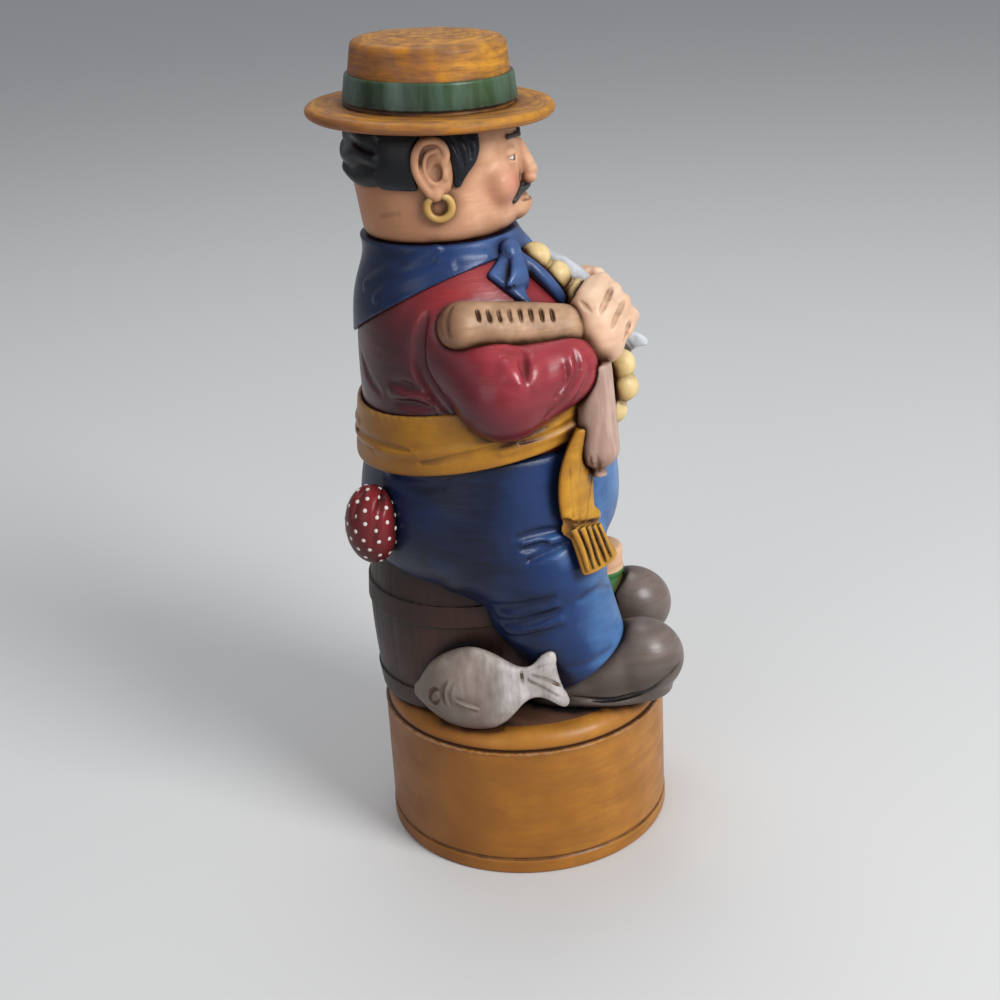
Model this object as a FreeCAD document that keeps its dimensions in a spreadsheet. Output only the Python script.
"""Figural liquor decanter: a seated market trader whose head lifts out as the stopper.

Millimetres, +Z up. The origin is the middle of the flat foot. The figure faces -Y and its right side is -X.
"""
import FreeCAD, Part
import math
import os
from types import SimpleNamespace

import Sketcher

Vector = FreeCAD.Vector
UP = Vector(0, 0, 1)
RIGHT, LEFT = -1, 1

SIZES = {
    # drum-shaped plinth
    "drum_radius": 56, "drum_height": 61, "drum_wall": 6, "floor_thickness": 6,
    "foot_rim_height": 5.5, "rim_groove": 0.9, "lip_height": 53.5, "lip_groove": 2.4, "bead_inset": 1.4,
    # barrel that the figure sits on
    "barrel_back": 20, "barrel_end_radius": 35.6, "barrel_bulge": 3, "barrel_height": 62, "barrel_wall": 5.5,
    "hoop_width": 8.5, "hoop_proud": 0.7, "upper_hoop_height": 38,
    # trousers, from the seat to the waist
    "seat_sink": 10, "hip_height": 55, "hip_half_width": 54, "hip_front": 49.3, "hip_back": 49.3,
    "body_back": 9.2, "body_wall": 5,
    # chest, from the waist to the collar
    "chest_height": 73.7, "chest_half_width": 48.5, "chest_front": 47, "chest_back": 45.3,
    "collar_radius": 24, "stopper_back": 22.5, "bore_radius": 12.5, "bore_depth": 23, "bore_flare": 6,
    # sash round the waist and its hanging tail
    "sash_width": 22, "sash_proud": 2.2, "sash_drop": 0.8, "sash_slope": 9.5,
    "tail_aside": 37, "tail_slant": 8, "tail_half_width": 10.5, "tail_thickness": 3.2, "tail_top": 10,
    "tail_length": 36, "fringe_length": 16, "tail_stand": 2.5,
    # neckerchief
    "kerchief_radius": 28.5, "kerchief_proud": 1.6, "flap_drop": 35.5, "flap_side_rise": 0.34,
    "flap_front_rise": 0.41,
    "knot_radius": 5.5, "knot_aside": 20, "knot_drop": 5.5, "kerchief_end": 19,
    # arms
    "shoulder_inset": 18, "shoulder_back": 10, "shoulder_drop": 30, "upper_arm_radius": 15.5,
    "elbow_out": 16, "elbow_ahead": 17, "elbow_drop": 18, "elbow_radius": 17.5,
    "wrist_in": 10, "wrist_ahead": 20, "wrist_rise": 4.5, "cuff_radius": 14, "left_hand_drop": 6.5,
    # hands
    "palm_in": 9, "palm_ahead": 14, "palm_rise": 11, "palm_width": 10, "palm_length": 14,
    "finger_radius": 3.4, "finger_length": 13, "finger_spread": 5.4, "thumb_radius": 3.8,
    # legs
    "hip_spread": 22, "hip_rise": 23, "thigh_radius": 28, "knee_spread": 30, "knee_ahead": 23, "knee_rise": 8,
    "right_knee_back": 5.5, "under_knee_back": 3.9,
    "knee_radius": 25, "knee_drop": 13, "calf_radius": 24, "ankle_spread": 28.5, "ankle_ahead": 33,
    "ankle_height": 19, "ankle_radius": 17.5, "hem_height": 33,
    "shin_radius": 9.5, "sock_radius": 12, "sock_height": 22, "shin_ahead": 42,
    # shoes
    "shoe_aside": 26, "left_foot_in": 6, "shoe_heel": 2, "shoe_length": 64, "shoe_half_width": 14,
    "sole_thickness": 4, "sole_inset": 4, "toe_height": 31, "toe_length": 17, "instep_height": 32,
    "right_hem_ahead": 37, "right_hem_height": 21, "right_hem_slope": 37,
    # things in the arms
    "loaf_length": 54, "loaf_radius": 9.2, "loaf_out": 9, "loaf_slash": 1.1,
    "salami_radius": 8, "salami_length": 42, "salami_aside": 38.5, "salami_tie": 3.4,
    "held_length": 62, "held_height": 8, "held_thickness": 7, "held_aside": 3,
    "bulb_radius": 5.8, "bulb_step": 10, "string_radius": 2.2,
    # fish on the plinth
    "ground_length": 58, "ground_height": 17.2, "ground_thickness": 8, "ground_aside": 44.5,
    # handkerchief in the back pocket
    "hanky_width": 11, "hanky_height": 15, "hanky_depth": 10, "hanky_aside": 33, "hanky_rise": 29,
    # stopper: cork, tenon, head
    "seat_gap": 0.3, "cork_length": 19, "cork_clearance": 0.05, "cork_recess": 0.6, "tenon_radius": 9,
    "tenon_tip": 2, "head_height": 40, "head_foot_radius": 26, "head_half_width": 27.2,
    "head_front": 31, "head_back": 29, "nose_length": 9.5, "nose_radius": 4, "chin_radius": 8,
    "ear_height": 11.5, "ear_width": 6.8, "ear_thickness": 3.6, "ring_radius": 4.2, "ring_wire": 1.5,
    "hair_thickness": 3, "hair_drop": 35, "sideburn": 17, "moustache_radius": 3.4, "moustache_reach": 13,
    "brow_radius": 1.5, "brow_reach": 13,
    # straw hat
    "brim_radius": 44, "brim_thickness": 4.2, "crown_foot_radius": 29.6, "crown_top_radius": 27.4,
    "crown_height": 22, "crown_round": 3, "crown_dome": 1.6, "hat_tilt": 2,
    "band_height": 9.5, "band_lift": 1.2, "band_thickness": 1.2,
    # how far a cutting shape passes the face it cuts
    "overrun": 2,
}

# Body sections from foot to top: height, half width, front reach, back reach, lean towards the neck
HIP_SHARES = (
    (0.00, 0.667, 0.65, 0.77), (0.145, 0.87, 0.852, 0.94), (0.345, 0.981, 0.982, 1.0),
    (0.58, 0.99, 1.0, 0.994), (0.80, 0.944, 0.986, 0.95))
CHEST_SHARES = (
    (0.0, 1.0, 1.0, 1.0, 0.0), (0.17, 0.99, 0.951, 0.993, 0.04), (0.382, 0.959, 0.915, 0.962, 0.15),
    (0.594, 0.897, 0.872, 0.883, 0.36), (0.764, 0.784, 0.766, 0.773, 0.586),
    (0.905, 0.629, 0.628, 0.629, 0.835))
# Head sections above the foot ring: height, half width, front reach, back reach
HEAD_SHARES = (
    (0.10, 0.99, 0.96, 0.93), (0.28, 1.0, 1.0, 0.96), (0.50, 0.985, 0.99, 1.0),
    (0.75, 0.965, 0.97, 1.0), (1.0, 0.935, 0.92, 0.98), (1.13, 0.87, 0.84, 0.91))
# Fish sections from nose to tail: place along the fish, half height, half thickness
FISH_SHARES = (
    (0.0, 0.18, 0.30), (0.10, 0.52, 0.72), (0.28, 0.92, 1.0), (0.45, 1.0, 0.95), (0.62, 0.72, 0.66),
    (0.76, 0.40, 0.36), (0.86, 0.50, 0.24), (1.0, 0.76, 0.18))
# How far each finger's root lies along the knuckles, and its length
FINGER_SHARES = ((-1.5, 0.9), (-0.5, 1.0), (0.5, 0.96), (1.5, 0.8))
# Sash tail: place along the strip or the fringe, and half width
STRIP_SHARES = ((0.0, 0.8), (0.5, 1.0), (1.0, 0.85))
FRINGE_SHARES = ((0.0, 0.7), (0.5, 0.9), (1.0, 1.05))
# How far each end of the neckerchief falls aside and down, and its half width
KNOT_END_SHARES = ((0.55, 0.62, 1.35), (-0.1, 1.05, 0.65))
# Places of the loaf's slashes along its top
SLASH_SHARES = (0.36, 0.44, 0.52, 0.60, 0.68, 0.76, 0.84)

doc = FreeCAD.newDocument("figure_decanter")
sheet = doc.addObject("Spreadsheet::Sheet", "Sizes")
for row, (name, size) in enumerate(SIZES.items(), start=1):
    sheet.set("A%d" % row, name)
    sheet.set("B%d" % row, str(size))
    sheet.setAlias("B%d" % row, name)
doc.recompute()
s = SimpleNamespace(**{name: float(sheet.get(name)) for name in SIZES})

# Levels that several pieces share
deck = s.drum_height
seat = deck + s.barrel_height
hip_foot = seat - s.seat_sink
waist = hip_foot + s.hip_height
collar = waist + s.chest_height
head_foot = collar + s.seat_gap
brim_level = head_foot + s.head_height

NODES = {}


def bind(thing, **formulas):
    """Ties properties to formulas in the sheet's names; Base_x stands for Placement.Base.x."""
    for key, formula in formulas.items():
        path = "Placement.Base." + key[-1] if key.startswith("Base_") else key
        thing.setExpression(path, in_sheet(formula))
    return thing


def in_sheet(formula):
    """The formula with each size's name pointing at its cell."""
    words = formula.replace("(", " ( ").replace(")", " ) ").split()
    return " ".join("Sizes." + word if word in SIZES else word for word in words)


def number(formula):
    return float(sheet.evalExpression(in_sheet(formula)))


def turned(label, corners):
    """A body turned about its own Z axis. A corner is (radius, height), and a corner that an arc
    reaches adds the point (radius, height) that the arc passes through."""
    body = doc.addObject("PartDesign::Body", label)
    sketch = body.newObject("Sketcher::SketchObject", label + "_outline")
    plane = [origin for origin in body.Origin.OriginFeatures if origin.Role == "XZ_Plane"][0]
    sketch.AttachmentSupport = [(plane, "")]
    sketch.MapMode = "FlatFace"
    points = [Vector(number(corner[0]), number(corner[1]), 0) for corner in corners]
    ends = []
    for index, corner in enumerate(corners):
        start, end = points[index - 1], points[index]
        if len(corner) == 4:
            via = Vector(number(corner[2]), number(corner[3]), 0)
            edge = sketch.addGeometry(Part.Arc(start, via, end))
            dot = sketch.addGeometry(Part.Point(via), True)
            pin(sketch, dot, 1, corner[2], corner[3])
            sketch.addConstraint(Sketcher.Constraint("PointOnObject", dot, 1, edge))
        else:
            edge = sketch.addGeometry(Part.LineSegment(start, end))
        forward = (sketch.getPoint(edge, 1) - start).Length < (sketch.getPoint(edge, 2) - start).Length
        ends.append((edge, 1, 2) if forward else (edge, 2, 1))
    for index, corner in enumerate(corners):
        edge, first, last = ends[index]
        following = ends[(index + 1) % len(ends)]
        sketch.addConstraint(Sketcher.Constraint("Coincident", edge, last, following[0], following[1]))
        pin(sketch, edge, last, corner[0], corner[1])
    revolution = body.newObject("PartDesign::Revolution", label + "_turned")
    revolution.Profile = sketch
    revolution.ReferenceAxis = (sketch, ["V_Axis"])
    revolution.Angle = 360
    doc.recompute()
    return body


def round_cap(rim_radius, rim_height, rise):
    """The point halfway along a cap's arc, from its rim to its tip on the axis, a rise above the rim."""
    chord = "( ( %s ) ^ 2 + ( %s ) ^ 2 ) ^ 0.5" % (rim_radius, rise)
    sagitta = "( %s - ( %s ) ) / ( 2 * ( %s ) )" % (chord, rim_radius, rise)
    return chord + " / 2", "%s + ( %s ) / 2 + ( %s ) * %s" % (rim_height, rise, rim_radius, sagitta)


def pin(sketch, edge, end, across, up):
    """Holds one end of an edge at its formulas' place."""
    for kind, axis, formula in (("DistanceX", -2, across), ("DistanceY", -1, up)):
        if formula == "0":
            sketch.addConstraint(Sketcher.Constraint("PointOnObject", edge, end, axis))
        else:
            rule = sketch.addConstraint(Sketcher.Constraint(kind, -1, 1, edge, end, number(formula)))
            sketch.setExpression("Constraints[%d]" % rule, in_sheet(formula))


def round_pocket(body, label, radius, back, level, depth):
    """Cuts a round hole down from a level of the body."""
    sketch = body.newObject("Sketcher::SketchObject", label + "_circle")
    plane = [origin for origin in body.Origin.OriginFeatures if origin.Role == "XY_Plane"][0]
    sketch.AttachmentSupport = [(plane, "")]
    sketch.MapMode = "FlatFace"
    sketch.setExpression("AttachmentOffset.Base.z", in_sheet(level))
    circle = sketch.addGeometry(Part.Circle(Vector(0, number(back), 0), UP, number(radius)))
    pin(sketch, circle, 3, "0", back)
    rule = sketch.addConstraint(Sketcher.Constraint("Radius", circle, number(radius)))
    sketch.setExpression("Constraints[%d]" % rule, in_sheet(radius))
    pocket = body.newObject("PartDesign::Pocket", label)
    pocket.Profile = sketch
    pocket.setExpression("Length", in_sheet(depth))
    before = body.Shape.Volume
    doc.recompute()
    if body.Shape.Volume >= before:
        raise RuntimeError(label + " cuts nothing")
    return pocket


def casting(label, shape):
    """Keeps a sculpted shape as a node of its own."""
    feature = doc.addObject("Part::Feature", label)
    feature.Shape = shape
    NODES[label] = feature
    return feature.Shape


def loop(centre, across, front, back=None):
    """A closed smooth outline round a centre: across to both sides, front and back reach apart."""
    back = back if back is not None else -front
    points = []
    for step in range(12):
        turn = 2 * math.pi * step / 12
        reach = back * math.sin(turn) if math.sin(turn) > 0 else front * -math.sin(turn)
        points.append(centre + across * math.cos(turn) + reach)
    curve = Part.BSplineCurve()
    curve.interpolate(Points=points, PeriodicFlag=True)
    return Part.Wire(curve.toShape())


def level_loop(back, height, half_width, front, rear, slope=0):
    """A loop round the body at a height, higher in front where it slopes."""
    rise = math.tan(math.radians(slope))
    return loop(Vector(0, back, height), Vector(half_width, 0, 0),
                Vector(0, -front, front * rise), Vector(0, rear, -rear * rise))


def loft(loops):
    return Part.makeLoft(loops, True)


def capsule(start, end, start_radius, end_radius):
    """A tapered bar with ball ends."""
    length = (end - start).Length
    lean = math.asin((start_radius - end_radius) / length)

    def on_ball(radius, height, angle):
        return Vector(radius * math.cos(angle), 0, height + radius * math.sin(angle))

    quarter = math.pi / 2
    low = Part.Arc(on_ball(start_radius, 0, -quarter), on_ball(start_radius, 0, (lean - quarter) / 2),
                   on_ball(start_radius, 0, lean))
    high = Part.Arc(on_ball(end_radius, length, lean), on_ball(end_radius, length, (lean + quarter) / 2),
                    on_ball(end_radius, length, quarter))
    side = Part.LineSegment(on_ball(start_radius, 0, lean), on_ball(end_radius, length, lean))
    axis = Part.LineSegment(on_ball(end_radius, length, quarter), on_ball(start_radius, 0, -quarter))
    outline = Part.Wire([low.toShape(), side.toShape(), high.toShape(), axis.toShape()])
    bar = Part.Face(outline).revolve(Vector(0, 0, 0), UP, 360)
    bar.Placement = FreeCAD.Placement(start, FreeCAD.Rotation(UP, end - start))
    return bar


def egg(centre, half_x, half_y, half_z, rotation=FreeCAD.Rotation(), poles=UP):
    """An ellipsoid, whose poles lie along a direction."""
    scale = FreeCAD.Matrix()
    scale.scale(half_x, half_y, half_z)
    shape = Part.makeSphere(1, Vector(0, 0, 0), poles).transformGeometry(scale)
    shape.Placement = FreeCAD.Placement(centre, rotation)
    return shape


def trim(shape, *others):
    """The largest piece of a shape that is left outside the others."""
    left = shape.cut(list(others))
    return max(left.Solids, key=lambda solid: solid.Volume)


def front_of(aside, height, *shapes):
    """How far forward the shapes reach, at a distance from the middle and a height."""
    ray = Part.makeLine(Vector(aside, -4 * s.drum_radius, height), Vector(aside, s.body_back, height))
    return min(vertex.Y for shape in shapes for vertex in shape.common(ray).Vertexes)


# Plinth: a hollow drum with a foot rim, a sharp lip, a groove and a quarter-round bead
bead_rise = "( drum_height - lip_height - rim_groove )"
drum = turned("base_drum", (
    ("0", "0"),
    ("drum_radius", "0"),
    ("drum_radius", "foot_rim_height"),
    ("drum_radius - rim_groove", "foot_rim_height + rim_groove"),
    ("drum_radius - rim_groove / 3", "foot_rim_height + 2 * rim_groove"),
    ("drum_radius - rim_groove / 3", "lip_height - rim_groove"),
    ("drum_radius", "lip_height"),
    ("drum_radius - lip_groove", "lip_height + rim_groove"),
    ("drum_radius - bead_inset", "lip_height + rim_groove"),
    ("drum_radius - bead_inset - " + bead_rise, "drum_height",
     "drum_radius - bead_inset - 0.2929 * " + bead_rise, "lip_height + rim_groove + 0.7071 * " + bead_rise),
    ("0", "drum_height"),
    ("0", "drum_height - drum_wall"),
    ("drum_radius - drum_wall", "drum_height - drum_wall"),
    ("drum_radius - drum_wall", "floor_thickness"),
    ("0", "floor_thickness")))
drum_volume = Part.makeCylinder(s.drum_radius, deck)
round_pocket(drum, "deck_hole", "barrel_end_radius - barrel_wall", "barrel_back", "drum_height",
             "drum_wall + overrun")
NODES["base_drum"] = drum

# Barrel seat: bulged staves, a hoop at each end and one above the middle
barrel = turned("barrel_seat", (
    ("0", "0"),
    ("barrel_end_radius + hoop_proud", "0"),
    ("barrel_end_radius + hoop_proud + barrel_bulge * 0.4", "hoop_width"),
    ("barrel_end_radius + barrel_bulge * 0.4", "hoop_width"),
    ("barrel_end_radius + barrel_bulge * 0.95", "upper_hoop_height",
     "barrel_end_radius + barrel_bulge", "( hoop_width + upper_hoop_height ) / 2"),
    ("barrel_end_radius + barrel_bulge * 0.95 + hoop_proud", "upper_hoop_height"),
    ("barrel_end_radius + barrel_bulge * 0.75 + hoop_proud", "upper_hoop_height + hoop_width"),
    ("barrel_end_radius + barrel_bulge * 0.75", "upper_hoop_height + hoop_width"),
    ("barrel_end_radius", "barrel_height"),
    ("0", "barrel_height")))
bind(barrel, Base_y="barrel_back", Base_z="drum_height")
doc.recompute()
barrel_volume = barrel.Shape.copy()
round_pocket(barrel, "barrel_bore", "barrel_end_radius - barrel_wall", "0", "barrel_height",
             "barrel_height + overrun")
NODES["barrel_seat"] = barrel


# Trousers and chest: one hollow body cast in two pieces that meet at the waist
def hip_loops(inset):
    loops = []
    for up, wide, front, rear in HIP_SHARES:
        height = max(hip_foot + up * s.hip_height, hip_foot + inset)
        loops.append(level_loop(s.body_back, height, wide * s.hip_half_width - inset,
                                front * s.hip_front - inset, rear * s.hip_back - inset))
    return loops + [waist_loop(inset)]


def waist_loop(inset):
    return level_loop(s.body_back, waist, s.chest_half_width - inset, s.chest_front - inset,
                      s.chest_back - inset)


def chest_loops(inset):
    loops = []
    for up, wide, front, rear, lean in CHEST_SHARES:
        back = s.body_back + lean * (s.stopper_back - s.body_back)
        loops.append(level_loop(back, waist + up * s.chest_height, wide * s.chest_half_width - inset,
                                front * s.chest_front - inset, rear * s.chest_back - inset))
    return loops


def stopper_loop(height, radius):
    return level_loop(s.stopper_back, height, radius, radius, radius)


hips = loft(hip_loops(0))
chest = loft(chest_loops(0) + [stopper_loop(collar, s.collar_radius)])
bore_foot = collar - s.bore_depth
chest_room = [ring for ring in chest_loops(s.body_wall) if ring.BoundBox.ZMax < bore_foot - s.body_wall]
chest_hollow = loft(chest_room + [stopper_loop(bore_foot, s.bore_radius + s.bore_flare)])
bore = Part.makeCylinder(s.bore_radius, s.bore_depth + 2 * s.overrun,
                         Vector(0, s.stopper_back, bore_foot - s.overrun))
casting("trousers", trim(hips, loft(hip_loops(s.body_wall)), barrel_volume))
casting("shirt_body", trim(chest, chest_hollow, bore))

# Sash: a sloping band over the waist seam
sash_low = waist - s.sash_drop
sash_band = loft([
    level_loop(s.body_back, sash_low, 0.925 * s.hip_half_width + s.sash_proud, s.chest_front + s.sash_proud,
               0.96 * s.hip_back + s.sash_proud, s.sash_slope),
    level_loop(s.body_back, sash_low + s.sash_width / 2, s.chest_half_width + 1.6 * s.sash_proud,
               s.chest_front + 1.3 * s.sash_proud, s.chest_back + 1.5 * s.sash_proud, s.sash_slope),
    level_loop(s.body_back, sash_low + s.sash_width, 0.985 * s.chest_half_width + s.sash_proud,
               0.94 * s.chest_front + s.sash_proud, s.chest_back + s.sash_proud, s.sash_slope)])
casting("waist_sash", trim(sash_band, hips, chest))

# Neckerchief: a skin over the shoulders with a rolled ring, cut to a point that hangs at the back
drape = loft(chest_loops(-s.kerchief_proud) + [stopper_loop(collar, s.kerchief_radius)])
flap_point = Vector(0, s.stopper_back + s.kerchief_radius, collar - s.flap_drop)
below_flaps = []
for side in (RIGHT, LEFT):
    below = Part.makeBox(4 * s.drum_radius, 4 * s.drum_radius, 2 * s.drum_radius,
                         Vector(-2 * s.drum_radius, -2 * s.drum_radius, -2 * s.drum_radius))
    lean = Vector(-side * s.flap_side_rise, s.flap_front_rise, 1)
    below.Placement = FreeCAD.Placement(flap_point, FreeCAD.Rotation(UP, lean))
    below_flaps.append(below)
kerchief = trim(drape, *below_flaps)
casting("neckerchief", trim(kerchief, chest))
body_parts = (hips, chest, sash_band, kerchief)


# Arms: joints of the arm from the shoulder to the wrist
def arm_joints(side):
    shoulder = Vector(side * (s.chest_half_width - s.shoulder_inset), s.body_back + s.shoulder_back,
                      collar - s.shoulder_drop)
    elbow = shoulder + Vector(side * s.elbow_out, -s.elbow_ahead, -s.elbow_drop)
    wrist = elbow + Vector(-side * s.wrist_in, -s.wrist_ahead, s.wrist_rise)
    return shoulder, elbow, wrist


def sleeve_shape(side):
    shoulder, elbow, wrist = arm_joints(side)
    upper = capsule(shoulder, elbow, s.upper_arm_radius, s.elbow_radius)
    return upper.fuse(capsule(elbow, wrist, s.elbow_radius, s.cuff_radius))


# Loaf in the crook of the right arm
shoulder, elbow, wrist = arm_joints(RIGHT)
loaf_body = turned("loaf_form", (
    ("0", "0"),
    ("loaf_radius * 0.93", "loaf_radius",
     *round_cap("loaf_radius * 0.93", "loaf_radius", "-1 * loaf_radius")),
    ("loaf_radius * 0.93", "loaf_length - loaf_radius", "loaf_radius", "loaf_length / 2"),
    ("0", "loaf_length", *round_cap("loaf_radius * 0.93", "loaf_length - loaf_radius", "loaf_radius"))))
loaf_back = elbow + Vector(-0.1 * s.loaf_out, s.elbow_ahead + s.loaf_radius * 0.35,
                           s.elbow_radius + s.loaf_radius * 0.85)
loaf_ahead = wrist + Vector(s.loaf_out / 2, 0, s.cuff_radius - s.loaf_radius * 0.15)
loaf_turn = FreeCAD.Rotation(UP, loaf_ahead - loaf_back)
loaf_body.Placement = FreeCAD.Placement(loaf_back, loaf_turn)
doc.recompute()
loaf_way = (loaf_ahead - loaf_back).normalize()
slashes = []
for share in SLASH_SHARES:
    out = Vector(-1, 0, 1).normalize() * (0.98 * s.loaf_radius)
    middle = loaf_back + loaf_way * (share * s.loaf_length) + out
    lean = loaf_way * (0.15 * s.loaf_radius) + Vector(1, 0, 1).normalize() * (0.4 * s.loaf_radius)
    slashes.append(capsule(middle - lean, middle + lean, s.loaf_slash, s.loaf_slash))
casting("bread_loaf", trim(loaf_body.Shape, *body_parts, *slashes))
loaf_volume = loaf_body.Shape.copy()

right_sleeve = casting("right_sleeve", trim(sleeve_shape(RIGHT), *body_parts, loaf_volume))
left_sleeve = casting("left_sleeve", trim(sleeve_shape(LEFT), *body_parts))


# Fish: one loft from the nose to the tail fin, with a notch in the fin
def fish_shape(nose, tail, bow, height, thickness, up):
    along = tail - nose
    loops = []
    for place, high, thick in FISH_SHARES:
        centre = nose + along * place + bow * (4 * place * (1 - place))
        way = (along + bow * (4 - 8 * place)).normalize()
        aside = way.cross(up).normalize()
        stand = aside.cross(way).normalize()
        loops.append(loop(centre, aside * (thick * thickness), stand * (high * height)))
    notch = capsule(tail + along.normalize() * height * 0.25 - way.cross(up) * thickness,
                    tail + along.normalize() * height * 0.25 + way.cross(up) * thickness,
                    height * 0.5, height * 0.5)
    return loft(loops).cut(notch)


held_nose = Vector(-s.held_aside, s.body_back - 0.36 * s.chest_front + 0.5 * s.held_height,
                   collar - 0.9 * s.held_height)
held_way = Vector(0, -1, -0.98).normalize()
held_fish = casting("held_fish", trim(
    fish_shape(held_nose, held_nose + held_way * s.held_length, Vector(0, -0.2, 0.2) * s.held_height,
               s.held_height, s.held_thickness, Vector(0, -1, 1)), *body_parts))


# Hands: a palm, four fingers round the fish and a thumb
def hand_shape(side, palm, way_in):
    """way_in points from the knuckles along the fingers."""
    row = Vector(0, -0.62, -0.78)
    shape = egg(palm, s.palm_width * 0.75, s.palm_width, s.palm_length,
                FreeCAD.Rotation(Vector(1, 0, 0), -18))
    knuckle = palm + Vector(side * -0.15 * s.palm_width, -0.45 * s.palm_width, 0.35 * s.palm_length)
    for place, long in FINGER_SHARES:
        root = knuckle + row * (place * s.finger_spread)
        tip = root + way_in * (long * s.finger_length)
        shape = shape.fuse(capsule(root, tip, s.finger_radius * 1.1, s.finger_radius))
    thumb = palm + Vector(-side * 0.2 * s.palm_width, 0.3 * s.palm_width, 0.75 * s.palm_length)
    thumb_tip = thumb + way_in * (0.75 * s.finger_length)
    return shape.fuse(capsule(thumb, thumb_tip, s.thumb_radius * 1.1, s.thumb_radius))


hands = {}
for side, label, sleeve in ((RIGHT, "right_hand", right_sleeve), (LEFT, "left_hand", left_sleeve)):
    wrist = arm_joints(side)[2]
    drop = s.left_hand_drop if side == LEFT else 0
    palm = wrist + Vector(-side * s.palm_in, -s.palm_ahead, s.palm_rise - drop)
    way_in = Vector(-side, -0.35, 0.2).normalize()
    neighbours = [sleeve, held_fish, loaf_volume, *body_parts]
    if side == LEFT:
        neighbours.append(hands[RIGHT])
    hands[side] = casting(label, trim(hand_shape(side, palm, way_in), *neighbours))


# Legs: thigh and calf of each trouser leg
def leg_joints(side):
    hip = Vector(side * s.hip_spread, s.body_back + 0.2 * s.hip_spread, hip_foot + s.hip_rise)
    back = s.right_knee_back if side == RIGHT else 0
    knee = Vector(side * s.knee_spread, s.body_back - s.knee_ahead + back, hip_foot + s.knee_rise)
    under = knee + Vector(0, s.under_knee_back - back, -s.knee_drop)
    inward = s.left_foot_in if side == LEFT else 0
    ankle = Vector(side * (s.ankle_spread - inward), s.body_back - s.ankle_ahead, deck + s.ankle_height)
    return hip, knee, under, ankle


def leg_shape(side):
    hip, knee, under, ankle = leg_joints(side)
    thigh = capsule(hip, knee, s.thigh_radius, s.knee_radius)
    return thigh.fuse(capsule(under, ankle, s.calf_radius, s.ankle_radius))


below_hem = Part.makeBox(4 * s.drum_radius, 4 * s.drum_radius, s.hem_height,
                         Vector(-2 * s.drum_radius, -2 * s.drum_radius, deck))
below_right_hem = Part.makeBox(4 * s.drum_radius, 4 * s.drum_radius, s.drum_radius,
                               Vector(-2 * s.drum_radius, -2 * s.drum_radius, -s.drum_radius))
right_hem = Vector(0, s.body_back - s.right_hem_ahead, deck + s.right_hem_height)
hem_turn = FreeCAD.Rotation(Vector(1, 0, 0), -s.right_hem_slope)
below_right_hem.Placement = FreeCAD.Placement(right_hem, hem_turn)
leg_neighbours = (hips, barrel_volume, drum_volume, sash_band)
right_leg = casting("right_trouser_leg", trim(leg_shape(RIGHT), *leg_neighbours, below_right_hem))
left_leg = casting("left_trouser_leg", trim(leg_shape(LEFT), *leg_neighbours, right_leg, below_hem))

# Bare left shin and its sock
shin_axis = Vector(s.shoe_aside - s.left_foot_in, s.body_back - s.shin_ahead, 0)
shin = Part.makeCylinder(s.shin_radius, s.hem_height - s.sock_height + s.shin_radius,
                         shin_axis + UP * (deck + s.sock_height))
sock = Part.makeCone(s.sock_radius * 0.95, s.sock_radius, s.sock_height - s.sole_thickness,
                     shin_axis + UP * (deck + s.sole_thickness))
sock = casting("left_sock", sock)
shin = casting("left_shin", trim(shin, left_leg))


# Shoes: a flat sole, a swollen toe, an instep and the low sides round the heel
def shoe_shape(side):
    aside = -s.shoe_aside if side == RIGHT else s.shoe_aside - s.left_foot_in
    toe_end = s.shoe_heel - s.shoe_length
    sole_loop = level_loop((s.shoe_heel + toe_end) / 2, deck, s.shoe_half_width,
                           s.shoe_length / 2 - s.sole_inset, s.shoe_length / 2)
    sole_loop.translate(Vector(aside, 0, 0))
    sole = Part.Face(sole_loop).extrude(UP * s.sole_thickness)
    upper_foot = deck + s.sole_thickness
    toe = egg(Vector(aside, toe_end + s.toe_length, deck + s.toe_height / 2),
              1.04 * s.shoe_half_width, s.toe_length, s.toe_height / 2)
    instep = egg(Vector(aside, toe_end + 1.8 * s.toe_length, deck + 0.45 * s.instep_height),
                 s.shoe_half_width, 1.3 * s.toe_length, 0.55 * s.instep_height)
    heel_length = 0.32 * s.shoe_length
    heel = egg(Vector(aside, s.shoe_heel - heel_length, deck + 0.3 * s.instep_height),
               0.96 * s.shoe_half_width, heel_length, 0.3 * s.instep_height)
    under = Part.makeBox(4 * s.drum_radius, 4 * s.drum_radius, s.drum_height,
                         Vector(-2 * s.drum_radius, -2 * s.drum_radius, upper_foot - s.drum_height))
    return toe.fuse([instep, heel]).cut(under).fuse(sole)


right_shoe = casting("right_shoe", trim(shoe_shape(RIGHT), right_leg, barrel_volume))
casting("left_shoe", trim(shoe_shape(LEFT), sock, shin, left_leg, barrel_volume))

# Fish on the plinth, along the foot of the barrel, tail to the front
ground_middle = deck + s.ground_height
ground_nose = Vector(-0.78 * s.ground_aside, s.barrel_back + 0.36 * s.ground_length,
                     ground_middle - 0.35 * s.ground_height)
ground_tail = ground_nose + Vector(-0.28, -1, 0.2).normalize() * s.ground_length
casting("ground_fish", trim(
    fish_shape(ground_nose, ground_tail, Vector(-0.07 * s.ground_length, 0, 0), s.ground_height,
               s.ground_thickness, UP), barrel_volume, drum_volume, right_leg, right_shoe))

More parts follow.
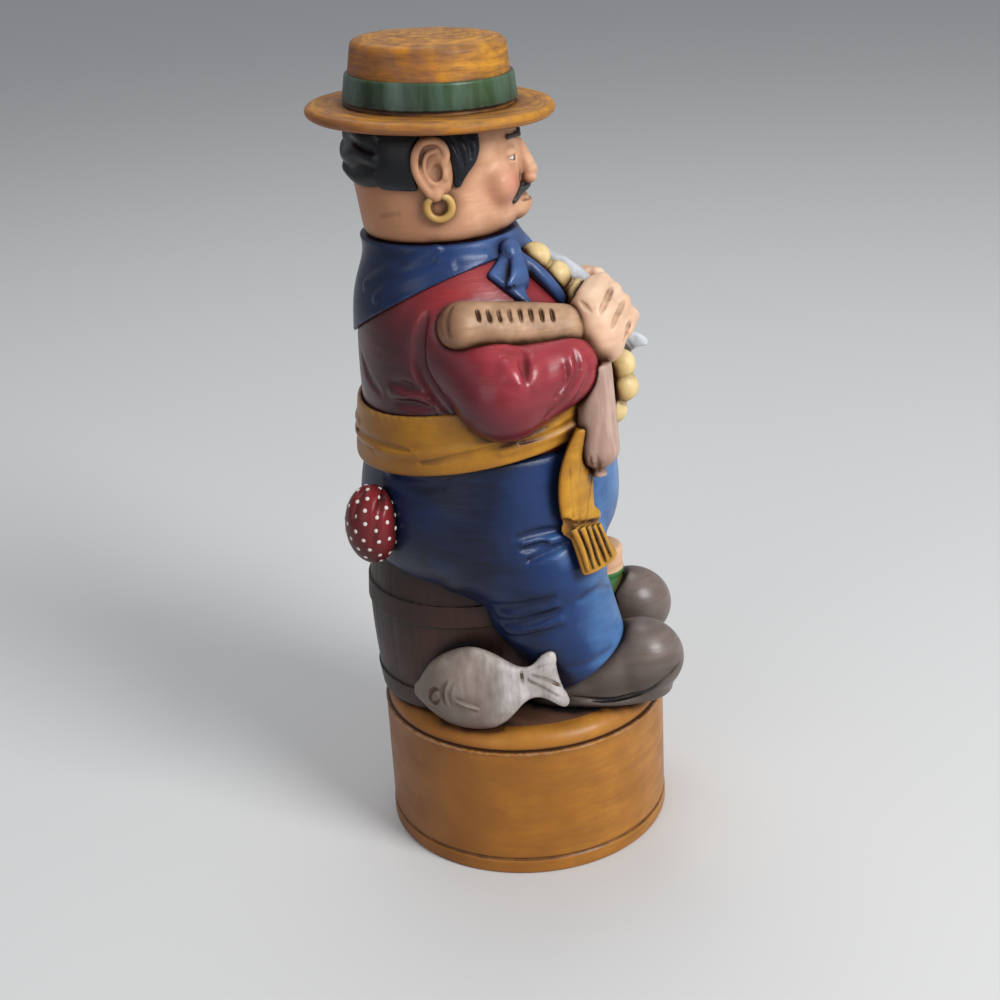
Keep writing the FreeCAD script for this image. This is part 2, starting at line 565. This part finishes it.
# Handkerchief that puffs out of the back pocket
hanky_back = s.body_back + s.hip_back * math.sqrt(1 - (s.hanky_aside / s.hip_half_width) ** 2)
hanky_out = Vector(-0.5, 0.87, 0)
hanky_middle = Vector(-s.hanky_aside, hanky_back, hip_foot + s.hanky_rise)
hanky_middle += hanky_out * (0.45 * s.hanky_depth)
hanky = egg(hanky_middle, s.hanky_width, s.hanky_depth, s.hanky_height, poles=hanky_out)
casting("pocket_handkerchief", trim(hanky, hips, barrel_volume))

# Salami that hangs under the right hand, with a tied end
salami_form = turned("salami_form", (
    ("0", "0"),
    ("salami_tie", "0"),
    ("salami_tie * 0.6", "salami_tie"),
    ("salami_radius", "salami_tie + salami_radius",
     "salami_radius * 0.8", "salami_tie + salami_radius * 0.35"),
    ("salami_radius * 0.85", "salami_length"),
    ("0", "salami_length")))
sash_front = front_of(-s.salami_aside, waist + s.sash_width / 2, sash_band)
salami_foot = Vector(-s.salami_aside, sash_front - 0.75 * s.salami_radius, waist - 0.25 * s.salami_length)
salami_form.Placement = FreeCAD.Placement(salami_foot, FreeCAD.Rotation(UP, Vector(0.06, 0.03, 1)))
doc.recompute()
salami = casting("salami", trim(salami_form.Shape, *body_parts, right_sleeve, hands[RIGHT], right_leg))

# Sash tail: a flat strip down the belly, gathered above its fringe
tail_out = Vector(-0.6, -0.8, 0)
tail_across = Vector(0.8, -0.6, 0)


def tail_place(down):
    """The middle of the strip some way down from its top, lying on the trousers."""
    height = waist + s.tail_top - down
    aside = -s.tail_aside - s.tail_slant * down / (s.tail_length + s.fringe_length)
    front = front_of(aside, height, hips, chest, sash_band, right_leg)
    return Vector(aside, front, height) + tail_out * s.tail_stand


def tail_loop(down, wide):
    return loop(tail_place(down), tail_across * (wide * s.tail_half_width), tail_out * s.tail_thickness)


strip = loft([tail_loop(share * s.tail_length, wide) for share, wide in STRIP_SHARES])
fringe = loft([tail_loop(s.tail_length + share * s.fringe_length, wide) for share, wide in FRINGE_SHARES])
gather = tail_place(s.tail_length)
tie_reach = tail_across * (0.75 * s.tail_half_width)
tie = capsule(gather - tie_reach, gather + tie_reach, s.tail_thickness, s.tail_thickness)
casting("sash_tail", trim(strip.fuse([fringe, tie]), hips, chest, sash_band, right_leg, salami))

# Knot of the neckerchief and its two ends on the chest
knot_level = collar - s.knot_drop
knot_middle = Vector(-s.knot_aside, front_of(-s.knot_aside, knot_level, kerchief), knot_level)
knot = egg(knot_middle, s.knot_radius, s.knot_radius * 0.8, s.knot_radius * 0.85)
for aside, down, wide in KNOT_END_SHARES:
    tip_x = -s.knot_aside - aside * s.kerchief_end
    tip_z = knot_level - down * s.kerchief_end
    tip = Vector(tip_x, front_of(tip_x, tip_z, chest), tip_z)
    middle = (knot_middle + tip) / 2 + Vector(-0.3, -0.4, 0.1) * s.knot_radius
    flat = (tip - knot_middle).cross(Vector(-0.5, -1, 0.4)).normalize()
    out = flat.cross(tip - knot_middle).normalize()
    knot = knot.fuse(loft([
        loop(knot_middle, flat * (0.4 * s.knot_radius), out * (0.5 * s.knot_radius)),
        loop(middle, flat * ((0.2 + 0.5 * wide) * s.knot_radius), out * (0.45 * s.knot_radius)),
        loop(tip, flat * (wide * s.knot_radius), out * (0.35 * s.knot_radius))]))
knot_shape = casting("neckerchief_knot", trim(knot, chest, kerchief, held_fish, loaf_volume))

# String of bulbs along the fish and down below the hand
bulb_top = held_nose + Vector(-s.held_thickness - 0.6 * s.bulb_radius, -1.35 * s.bulb_radius,
                              -0.45 * s.bulb_radius)
upper_bulbs = [bulb_top + Vector(0, -1, -1).normalize() * (s.bulb_step * step) for step in range(3)]
lower_bulbs = []
for step in range(3):
    aside = -s.held_aside - 1.5 * s.bulb_radius
    height = waist + s.sash_width - 0.85 * s.bulb_step * step
    lower_bulbs.append(Vector(aside, front_of(aside, height, chest, sash_band) - 0.4 * s.bulb_radius, height))


def bulb_row(places):
    """Bulbs in a row on their string, clear of what they lie against."""
    row = [egg(place, s.bulb_radius * 0.95, s.bulb_radius, s.bulb_radius) for place in places]
    row += [capsule(first, last, s.string_radius, s.string_radius) for first, last in zip(places, places[1:])]
    neighbours = (held_fish, hands[RIGHT], hands[LEFT], salami, knot_shape, *body_parts)
    return trim(row[0].multiFuse(row[1:]), *neighbours)


casting("bulb_string", Part.makeCompound([bulb_row(upper_bulbs), bulb_row(lower_bulbs)]))

# Cork sleeve that grips the neck, turned with its bore
cork = turned("cork_sleeve", (
    ("tenon_radius + cork_clearance", "0"),
    ("bore_radius - cork_clearance", "0"),
    ("bore_radius - cork_clearance", "cork_length"),
    ("tenon_radius + cork_clearance", "cork_length")))
waist_formula = "drum_height + barrel_height - seat_sink + hip_height"
bind(cork, Base_y="stopper_back", Base_z=waist_formula + " + chest_height - cork_recess - cork_length")
NODES["cork_sleeve"] = cork

# Tenon under the head that carries the cork
tenon = doc.addObject("Part::Cylinder", "stopper_tenon")
bind(tenon, Radius="tenon_radius", Height="seat_gap + cork_recess + cork_length + tenon_tip",
     Base_y="stopper_back", Base_z=waist_formula + " + chest_height - cork_recess - cork_length - tenon_tip")
NODES["stopper_tenon"] = tenon

# Straw hat with a flat brim, and its band
hat = turned("straw_hat", (
    ("0", "0"),
    ("brim_radius - brim_thickness / 2", "0"),
    ("brim_radius - brim_thickness / 2", "brim_thickness", "brim_radius", "brim_thickness / 2"),
    ("crown_foot_radius", "brim_thickness"),
    ("crown_top_radius", "brim_thickness + crown_height - crown_round"),
    ("crown_top_radius - crown_round", "brim_thickness + crown_height",
     "crown_top_radius - 0.3 * crown_round", "brim_thickness + crown_height - 0.3 * crown_round"),
    ("0", "brim_thickness + crown_height + crown_dome",
     *round_cap("crown_top_radius - crown_round", "brim_thickness + crown_height", "crown_dome"))))
slant = "( crown_foot_radius - crown_top_radius ) / ( crown_height - crown_round )"
band = turned("hat_band", (
    ("crown_foot_radius - band_lift * " + slant, "brim_thickness + band_lift"),
    ("crown_foot_radius - band_lift * " + slant + " + band_thickness", "brim_thickness + band_lift"),
    ("crown_foot_radius - ( band_lift + band_height ) * " + slant + " + band_thickness",
     "brim_thickness + band_lift + band_height"),
    ("crown_foot_radius - ( band_lift + band_height ) * " + slant,
     "brim_thickness + band_lift + band_height")))
for piece in (hat, band):
    piece.Placement = FreeCAD.Placement(Vector(0, s.stopper_back, brim_level),
                                        FreeCAD.Rotation(Vector(1, 0, 0), s.hat_tilt))
doc.recompute()
NODES["straw_hat"] = hat
NODES["hat_band"] = band


# Head: sections from the foot ring up into the hat, with a plain nose and chin
def head_point(aside, front_share, up_share):
    """A place by its distance from the middle, share of the front reach and share of the head's height."""
    return Vector(aside, s.stopper_back - front_share * s.head_front, head_foot + up_share * s.head_height)


head_loops = [stopper_loop(head_foot, s.head_foot_radius)]
for up, wide, front, rear in HEAD_SHARES:
    head_loops.append(level_loop(s.stopper_back, head_foot + up * s.head_height, wide * s.head_half_width,
                                 front * s.head_front, rear * s.head_back))
skull = loft(head_loops)
nose = capsule(head_point(0, 0.97, 0.70), head_point(0, 1.06, 0.70 - s.nose_length / s.head_height),
               0.6 * s.nose_radius, s.nose_radius)
chin = egg(head_point(0, 0.84, 0.17), s.chin_radius * 1.3, s.chin_radius, 0.15 * s.head_height)
head = casting("head", trim(skull.fuse([nose, chin]), hat.Shape))

# Ears with a hoop in each lobe, moustache and eyebrows
ear_parts, ring_parts, brow_parts, lip_parts = [], [], [], []
for side in (RIGHT, LEFT):
    middle = head_point(side * s.head_half_width, 0.02, 0.66)
    ear_parts.append(egg(middle, s.ear_thickness, s.ear_width, s.ear_height,
                         FreeCAD.Rotation(Vector(1, 0, 0), -8), Vector(side, 0, 0)))
    hoop = Part.makeTorus(s.ring_radius, s.ring_wire, Vector(0, 0, 0), Vector(1, 0, 0))
    lobe = Vector(side * 0.4 * s.ear_thickness, -0.2 * s.ear_width, -s.ear_height)
    hoop.translate(middle + lobe - UP * (0.4 * s.ring_radius))
    ring_parts.append(hoop)
    brow_parts.append(capsule(head_point(side * 0.3 * s.brow_reach, 0.965, 0.80),
                              head_point(side * s.brow_reach, 0.85, 0.82),
                              s.brow_radius, 0.7 * s.brow_radius))
    lip_parts.append(capsule(head_point(0, 1.0, 0.36), head_point(side * s.moustache_reach, 0.88, 0.27),
                             s.moustache_radius, 0.5 * s.moustache_radius))
ears = Part.makeCompound([trim(part, head) for part in ear_parts])
casting("ears", ears)
earrings = casting("earrings", Part.makeCompound([trim(part, head, ears) for part in ring_parts]))
casting("eyebrows", Part.makeCompound([trim(part, head) for part in brow_parts]))
casting("moustache", trim(lip_parts[0].fuse(lip_parts[1]), head))

# Hair: a cap round the back and sides under the hat, with a sideburn in front of each ear
hair_form = egg(Vector(0, s.stopper_back, brim_level - 0.35 * s.hair_drop),
                s.head_half_width + s.hair_thickness, s.head_back + s.hair_thickness, 0.75 * s.hair_drop)
face_side = Part.makeBox(4 * s.head_half_width, 4 * s.head_front, 4 * s.head_height,
                         Vector(-2 * s.head_half_width, s.stopper_back - s.sideburn - 4 * s.head_front,
                                head_foot - s.head_height))
casting("hair", trim(hair_form, face_side, hat.Shape, head, ears, earrings))

# Every object has recomputed well, every node is a sound solid; then each node gets its file
doc.recompute()
for thing in doc.Objects:
    if "Invalid" in thing.State or "Error" in thing.State:
        raise RuntimeError(thing.Label + " failed to recompute")
os.makedirs("parts", exist_ok=True)
for label, thing in NODES.items():
    shape = thing.Shape
    if shape.isNull() or not shape.isValid() or not shape.Solids:
        raise RuntimeError(label + " is not a sound solid")
for label, thing in NODES.items():
    thing.Label = label
    thing.Shape.exportStep("parts/" + label + ".step")
    box = thing.Shape.BoundBox
    print("%-20s %9.0f mm3  x %6.1f %6.1f  y %6.1f %6.1f  z %6.1f %6.1f" % (
        label, thing.Shape.Volume, box.XMin, box.XMax, box.YMin, box.YMax, box.ZMin, box.ZMax))
